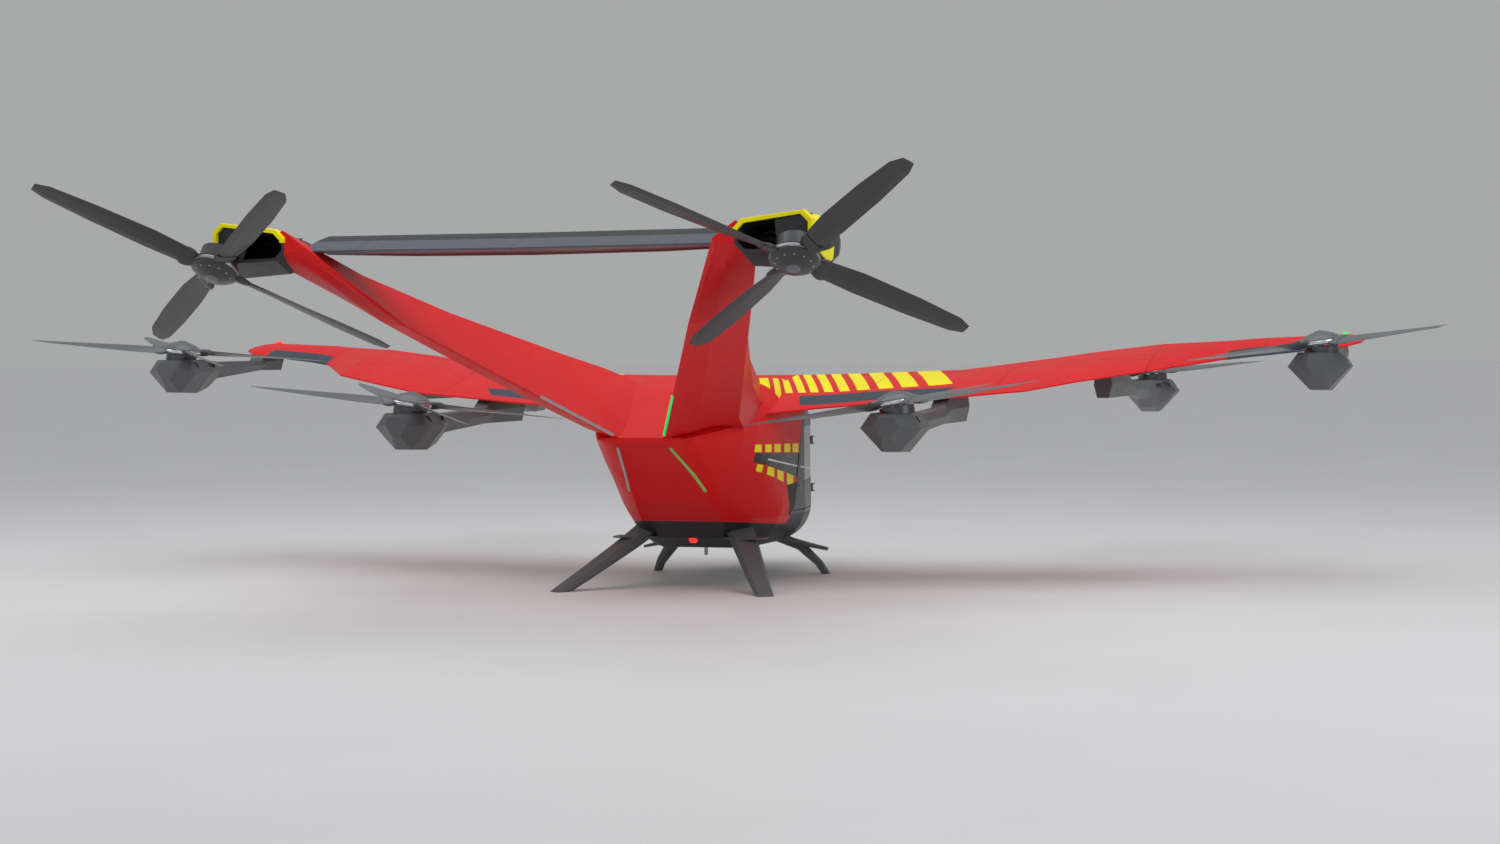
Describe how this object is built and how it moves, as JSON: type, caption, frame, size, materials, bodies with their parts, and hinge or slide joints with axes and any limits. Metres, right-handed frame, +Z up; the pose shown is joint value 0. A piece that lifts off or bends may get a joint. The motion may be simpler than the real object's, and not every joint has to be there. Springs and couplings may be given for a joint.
{
  "type": "electric vertical take-off aircraft",
  "caption": "Fixed-wing electric vertical take-off aircraft with a four-seat cabin, V tail, lift rotors on wing pods and tail ducts, and fixed legs.",
  "frame": {"origin": "on the floor under the feet, below the middle of the whole outline", "axes": "+X to starboard, +Y to the nose, +Z up"},
  "size_m": [14.2842, 12.1506, 3.6935],
  "materials": {
    "red_body": "gloss",
    "red_wing": "gloss",
    "dark_belly": "satin",
    "dark_frame": "satin",
    "glazing": "polished",
    "cabin_grey": "matte",
    "seat_fabric": "matte",
    "battery": "satin",
    "panel_grey": "satin",
    "pod_grey": "satin",
    "nacelle_grey": "satin",
    "blade_grey": "satin",
    "leg_grey": "satin",
    "motor_alloy": "satin",
    "steel": "satin",
    "lamp_green": "gloss",
    "lamp_red": "gloss",
    "lip_yellow": "gloss"
  },
  "bodies": {
    "airframe": {"ailerons": "panel_grey", "battery_block": "battery", "beacon": "lamp_red", "belly_pan": "dark_belly", "cabin_floor": "cabin_grey", "cabin_shell": "red_body", "elevator": "panel_grey", "fin_left": "red_wing", "fin_right": "red_wing", "flaps": "red_wing", "instrument_console": "cabin_grey", "leg_front_left": "leg_grey", "leg_front_right": "leg_grey", "leg_rear_left": "leg_grey", "leg_rear_right": "leg_grey", "motors": "motor_alloy", "nacelle_left": "nacelle_grey", "nacelle_lips": "lip_yellow", "nacelle_right": "nacelle_grey", "nav_lights": "lamp_green", "nose_frame": "dark_frame", "pod_forward_left": "pod_grey", "pod_forward_right": "pod_grey", "pod_inner_left": "pod_grey", "pod_inner_right": "pod_grey", "pod_tip_left": "pod_grey", "pod_tip_right": "pod_grey", "quarter_window_left": "glazing", "quarter_window_right": "glazing", "seat_backs": "seat_fabric", "seat_pads": "seat_fabric", "seat_shells": "cabin_grey", "tail_light_strips": "lamp_green", "tailplane": "panel_grey", "tie_down_lugs": "steel", "windscreen": "glazing", "wing_left": "red_wing", "wing_right": "red_wing"},
    "rotor_tip_left": {"rotor_tip_left": "blade_grey"},
    "rotor_inner_left": {"rotor_inner_left": "blade_grey"},
    "rotor_forward_left": {"rotor_forward_left": "blade_grey"},
    "rotor_tail_left": {"rotor_tail_left": "blade_grey"},
    "door_left": {"door_left": "dark_frame", "door_glass_left": "glazing"},
    "rotor_tip_right": {"rotor_tip_right": "blade_grey"},
    "rotor_inner_right": {"rotor_inner_right": "blade_grey"},
    "rotor_forward_right": {"rotor_forward_right": "blade_grey"},
    "rotor_tail_right": {"rotor_tail_right": "blade_grey"},
    "door_right": {"door_right": "dark_frame", "door_glass_right": "glazing"}
  },
  "joints": [
    {"name": "spin_tip_right", "type": "hinge", "parent": "airframe", "child": "rotor_tip_right", "pos_m": [6, 0.5236, 2.341], "axis": [-0.1253, -0.0192, 0.9919], "continuous": true},
    {"name": "spin_tip_left", "type": "hinge", "parent": "airframe", "child": "rotor_tip_left", "pos_m": [-6, 0.5236, 2.341], "axis": [0.1253, -0.0192, 0.9919], "continuous": true},
    {"name": "spin_inner_right", "type": "hinge", "parent": "airframe", "child": "rotor_inner_right", "pos_m": [2.399, -1.4634, 1.821], "axis": [-0.1599, 0, 0.9871], "continuous": true},
    {"name": "spin_inner_left", "type": "hinge", "parent": "airframe", "child": "rotor_inner_left", "pos_m": [-2.399, -1.4634, 1.821], "axis": [0.1599, 0, 0.9871], "continuous": true},
    {"name": "spin_forward_right", "type": "hinge", "parent": "airframe", "child": "rotor_forward_right", "pos_m": [3.75, 4.9236, 2.04], "axis": [-0.0872, 0, 0.9962], "continuous": true},
    {"name": "spin_forward_left", "type": "hinge", "parent": "airframe", "child": "rotor_forward_left", "pos_m": [-3.75, 4.9236, 2.04], "axis": [0.0872, 0, 0.9962], "continuous": true},
    {"name": "spin_tail_right", "type": "hinge", "parent": "airframe", "child": "rotor_tail_right", "pos_m": [2.508, -5.0484, 3.014], "axis": [0.0579, -0.5345, -0.8432], "continuous": true},
    {"name": "spin_tail_left", "type": "hinge", "parent": "airframe", "child": "rotor_tail_left", "pos_m": [-2.508, -5.0484, 3.014], "axis": [-0.0579, -0.5345, -0.8432], "continuous": true},
    {"name": "door_right_swing", "type": "hinge", "parent": "airframe", "child": "door_right", "pos_m": [0.61666, 1.9636, 1.11], "axis": [0, 0, 1], "range_deg": [0, 75]},
    {"name": "door_left_swing", "type": "hinge", "parent": "airframe", "child": "door_left", "pos_m": [-0.61666, 1.9636, 1.11], "axis": [0, 0, -1], "range_deg": [0, 75]}
  ]
}
